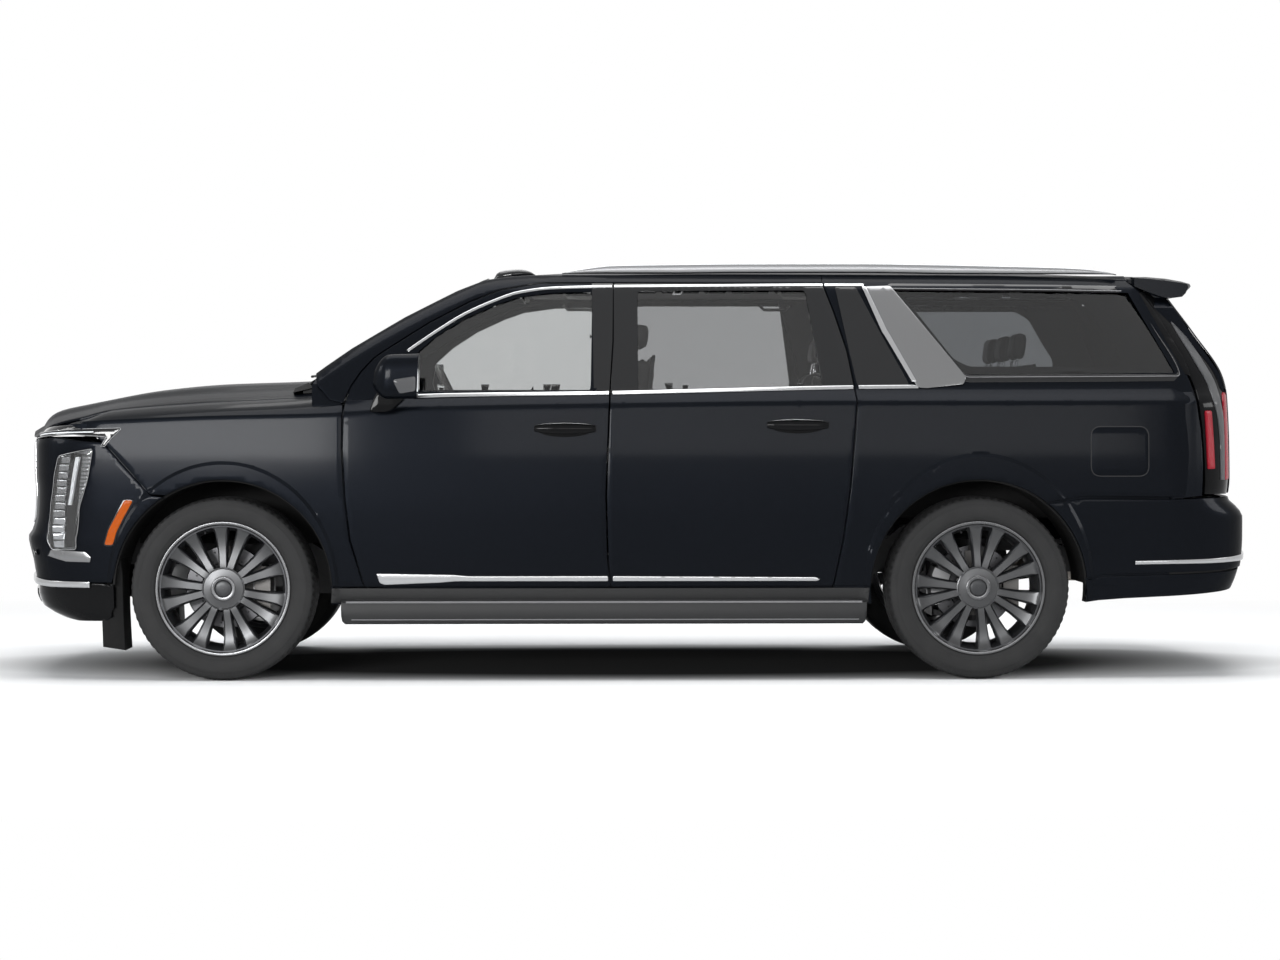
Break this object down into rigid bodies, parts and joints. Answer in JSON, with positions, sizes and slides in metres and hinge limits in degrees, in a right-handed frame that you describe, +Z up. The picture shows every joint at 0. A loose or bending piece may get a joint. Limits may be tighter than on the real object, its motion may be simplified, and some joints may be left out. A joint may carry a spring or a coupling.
{
  "type": "full-size sport utility vehicle",
  "caption": "Long-wheelbase full-size SUV with hinged doors, hood and tailgate, steering front wheels that roll, a hollow three-row cabin and a tow hitch.",
  "frame": {"origin": "on the floor under the middle of the body", "axes": "+Z up, nose towards -X, left side of the vehicle towards -Y"},
  "size_m": [5.766, 2.37, 1.904],
  "materials": {
    "body_paint": "very dark blue-black metallic, gloss clear coat",
    "privacy_glass": "dark tinted, gloss",
    "clear_glass": "light green-grey tint, gloss",
    "gloss_black": "gloss",
    "satin_metal": "satin",
    "lamp_lens": "clear, gloss",
    "tail_lens": "red and smoked, gloss",
    "black_plastic": "fine grain, matte",
    "carpet": "short pile",
    "cabin_plastic": "soft touch",
    "seat_leather": "fine grain",
    "black_steel": "semi-matt wax coat",
    "cast_metal": "as cast",
    "cast_alloy": "as cast",
    "exhaust_steel": "heat dulled",
    "tyre_rubber": "matte",
    "rim_alloy": "bright machined faces with grey pockets"
  },
  "bodies": {
    "chassis": {"bulkhead": "black_plastic", "console": "cabin_plastic", "dashboard": "cabin_plastic", "driveline": "cast_alloy", "engine": "cast_alloy", "exhaust": "exhaust_steel", "floor": "carpet", "frame": "black_steel", "front_bumper": "body_paint", "front_fenders": "body_paint", "front_seats": "seat_leather", "fuel_tank": "black_plastic", "grille": "black_plastic", "headlamps": "lamp_lens", "hitch_receiver": "black_steel", "quarter_glass": "privacy_glass", "quarter_panels": "body_paint", "rear_bumper": "body_paint", "rear_hub_carriers": "cast_metal", "roof": "body_paint", "roof_pod": "gloss_black", "roof_rails": "satin_metal", "running_boards": "black_plastic", "second_row_seats": "seat_leather", "side_frames": "body_paint", "steering_wheel": "seat_leather", "suspension_arms": "black_steel", "tail_lamps": "tail_lens", "third_row_seat": "seat_leather", "wheelhouse_liners": "black_plastic", "windshield": "clear_glass"},
    "wheel_front_left": {"tyre_front_left": "tyre_rubber", "rim_front_left": "rim_alloy"},
    "wheel_front_right": {"tyre_front_right": "tyre_rubber", "rim_front_right": "rim_alloy"},
    "wheel_rear_left": {"tyre_rear_left": "tyre_rubber", "rim_rear_left": "rim_alloy"},
    "wheel_rear_right": {"tyre_rear_right": "tyre_rubber", "rim_rear_right": "rim_alloy"},
    "knuckle_left": {"steering_knuckle_left": "cast_metal"},
    "front_door_left": {"front_door_left": "body_paint", "front_door_glass_left": "privacy_glass", "door_mirror_left": "gloss_black"},
    "rear_door_left": {"rear_door_left": "body_paint", "rear_door_glass_left": "privacy_glass"},
    "knuckle_right": {"steering_knuckle_right": "cast_metal"},
    "front_door_right": {"front_door_right": "body_paint", "front_door_glass_right": "privacy_glass", "door_mirror_right": "gloss_black"},
    "rear_door_right": {"rear_door_right": "body_paint", "rear_door_glass_right": "privacy_glass"},
    "hood": {"hood": "body_paint"},
    "tailgate": {"tailgate": "body_paint", "rear_glass": "privacy_glass"}
  },
  "joints": [
    {"name": "steer_left", "type": "hinge", "parent": "chassis", "child": "knuckle_left", "pos_m": [-1.875, -0.815, 0.413], "axis": [0, 0, 1], "range_deg": [-32, 32]},
    {"name": "spin_front_left", "type": "hinge", "parent": "knuckle_left", "child": "wheel_front_left", "pos_m": [-1.875, -0.87, 0.413], "axis": [0, 1, 0], "continuous": true},
    {"name": "spin_rear_left", "type": "hinge", "parent": "chassis", "child": "wheel_rear_left", "pos_m": [1.532, -0.87, 0.413], "axis": [0, 1, 0], "continuous": true},
    {"name": "front_door_left_swing", "type": "hinge", "parent": "chassis", "child": "front_door_left", "pos_m": [-1.275, -1.014, 0.83], "axis": [0, 0, -1], "range_deg": [0, 66]},
    {"name": "rear_door_left_swing", "type": "hinge", "parent": "chassis", "child": "rear_door_left", "pos_m": [-0.099, -1.018, 0.83], "axis": [0, 0, -1], "range_deg": [0, 68]},
    {"name": "steer_right", "type": "hinge", "parent": "chassis", "child": "knuckle_right", "pos_m": [-1.875, 0.815, 0.413], "axis": [0, 0, 1], "range_deg": [-32, 32]},
    {"name": "spin_front_right", "type": "hinge", "parent": "knuckle_right", "child": "wheel_front_right", "pos_m": [-1.875, 0.87, 0.413], "axis": [0, 1, 0], "continuous": true},
    {"name": "spin_rear_right", "type": "hinge", "parent": "chassis", "child": "wheel_rear_right", "pos_m": [1.532, 0.87, 0.413], "axis": [0, 1, 0], "continuous": true},
    {"name": "front_door_right_swing", "type": "hinge", "parent": "chassis", "child": "front_door_right", "pos_m": [-1.275, 1.014, 0.83], "axis": [0, 0, 1], "range_deg": [0, 66]},
    {"name": "rear_door_right_swing", "type": "hinge", "parent": "chassis", "child": "rear_door_right", "pos_m": [-0.099, 1.018, 0.83], "axis": [0, 0, 1], "range_deg": [0, 68]},
    {"name": "hood_lift", "type": "hinge", "parent": "chassis", "child": "hood", "pos_m": [-1.45, 0, 1.29], "axis": [0, 1, 0], "range_deg": [0, 48]},
    {"name": "tailgate_lift", "type": "hinge", "parent": "chassis", "child": "tailgate", "pos_m": [2.276, 0, 1.852], "axis": [0, -1, 0], "range_deg": [0, 84]}
  ],
  "couplings": [
    {"joint": "steer_right", "follows": "steer_left", "ratio": 1}
  ]
}
